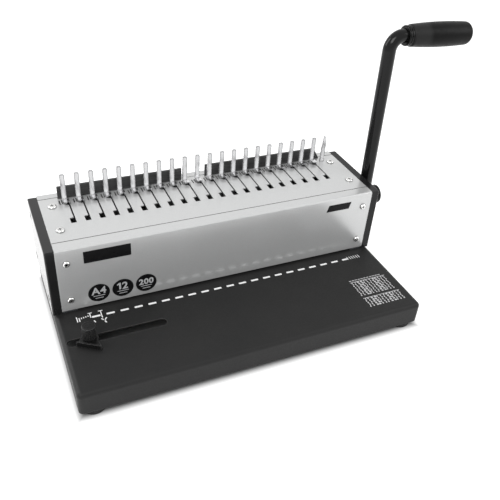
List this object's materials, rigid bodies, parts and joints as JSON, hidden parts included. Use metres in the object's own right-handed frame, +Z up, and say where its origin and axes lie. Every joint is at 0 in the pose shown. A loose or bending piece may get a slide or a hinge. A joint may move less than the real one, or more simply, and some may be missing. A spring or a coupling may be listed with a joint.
{
  "type": "comb binding machine",
  "caption": "Manual comb binding machine: black steel base, silver body with upright tines and hooks along its top, and a bent side handle with a long black grip.",
  "frame": {"origin": "on the surface that the machine stands on, under the middle of its rectangular base", "axes": "+X to the machine's right, along the row of tines and towards the handle; +Y to its back; +Z up"},
  "size_m": [0.4721, 0.213, 0.2753],
  "materials": {
    "base_black": "satin textured powder coat",
    "silver_paint": "satin silver",
    "cap_black": "fine moulded texture",
    "strip_black": "satin",
    "tine_steel": "polished nickel plate",
    "hook_steel": "bright plate",
    "screw_chrome": "bright",
    "screw_zinc": "zinc plate",
    "frame_steel": "zinc-plated sheet",
    "tool_steel": "ground tool steel",
    "shaft_steel": "ground bar",
    "bronze": "sintered bearing bronze",
    "spring_steel": "spring wire",
    "arm_black": "gloss black enamel",
    "grip_black": "matt moulded",
    "foot_rubber": "matt",
    "tray_plastic": "moulded",
    "knob_black": "ribbed moulding"
  },
  "bodies": {
    "machine": {"base_tray": "base_black", "rubber_feet": "foot_rubber", "foot_screws": "screw_zinc", "left_frame": "frame_steel", "right_frame": "frame_steel", "frame_screws": "screw_zinc", "front_cover": "silver_paint", "rear_cover": "silver_paint", "top_panel": "silver_paint", "top_panel_screws": "screw_chrome", "front_cover_screws": "screw_chrome", "rear_cover_screws": "screw_chrome", "left_end_cover": "cap_black", "right_end_cover": "cap_black", "left_cover_screws": "screw_zinc", "right_cover_screws": "screw_zinc", "tine_comb": "tine_steel", "comb_rest_left": "strip_black", "comb_rest_right": "strip_black", "die_plate": "tool_steel", "paper_stop": "frame_steel", "punch_guide_plate": "tool_steel", "die_set_screws": "screw_zinc", "punch_guide_pins": "shaft_steel", "return_springs": "spring_steel", "left_bush": "bronze", "right_bush": "bronze", "carriage_rails": "frame_steel", "tray_runners": "frame_steel"},
    "cam": {"cam_tube": "shaft_steel", "punch_cams": "tool_steel"},
    "punch": {"punch_bar": "tool_steel", "punches": "tool_steel"},
    "handle": {"handle_shaft": "shaft_steel", "shaft_clip": "spring_steel", "opener_levers": "frame_steel", "handle_hub": "arm_black", "hub_set_screw": "screw_zinc", "hub_cap": "cap_black", "handle_arm": "arm_black", "grip_collar": "grip_black", "handle_grip": "grip_black"},
    "carriage": {"hook_carriage": "frame_steel", "opening_hooks": "hook_steel"},
    "tray": {"chip_tray": "tray_plastic"},
    "edge_guide": {"edge_guide_shoe": "frame_steel", "edge_guide_stud": "shaft_steel"},
    "guide_stop": {"edge_guide_stop": "knob_black"},
    "guide_knob": {"edge_guide_knob": "knob_black"}
  },
  "joints": [
    {"name": "handle_punch", "type": "hinge", "parent": "machine", "child": "cam", "pos_m": [0, 0.0415, 0.0765], "axis": [1, 0, 0], "range_deg": [0, 65]},
    {"name": "punch_stroke", "type": "slide", "parent": "machine", "child": "punch", "axis": [0, 0, -1], "range_m": [0, 0.01], "stiffness_N_per_m": 1200, "springref_m": -0.01, "deforming": ["return_springs"]},
    {"name": "handle_open", "type": "hinge", "parent": "cam", "child": "handle", "pos_m": [0, 0.0415, 0.0765], "axis": [-1, 0, 0], "range_deg": [0, 55]},
    {"name": "hook_travel", "type": "slide", "parent": "machine", "child": "carriage", "axis": [0, -1, 0], "range_m": [0, 0.026]},
    {"name": "tray_slide", "type": "slide", "parent": "machine", "child": "tray", "axis": [0, 1, 0], "range_m": [0, 0.09]},
    {"name": "guide_slide", "type": "slide", "parent": "machine", "child": "edge_guide", "axis": [1, 0, 0], "range_m": [-0.014, 0.07]},
    {"name": "stop_swing", "type": "hinge", "parent": "edge_guide", "child": "guide_stop", "pos_m": [-0.1556, -0.0401, 0.0315], "axis": [0, 0, 1], "range_deg": [-57, 33]},
    {"name": "knob_turn", "type": "hinge", "parent": "edge_guide", "child": "guide_knob", "pos_m": [-0.1556, -0.0401, 0.04], "axis": [0, 0, 1], "range_deg": [-180, 180]}
  ],
  "couplings": [
    {"joint": "handle_punch", "follows": "punch_stroke", "rad_per_m": 113.44},
    {"joint": "handle_open", "follows": "hook_travel", "rad_per_m": 36.92}
  ]
}
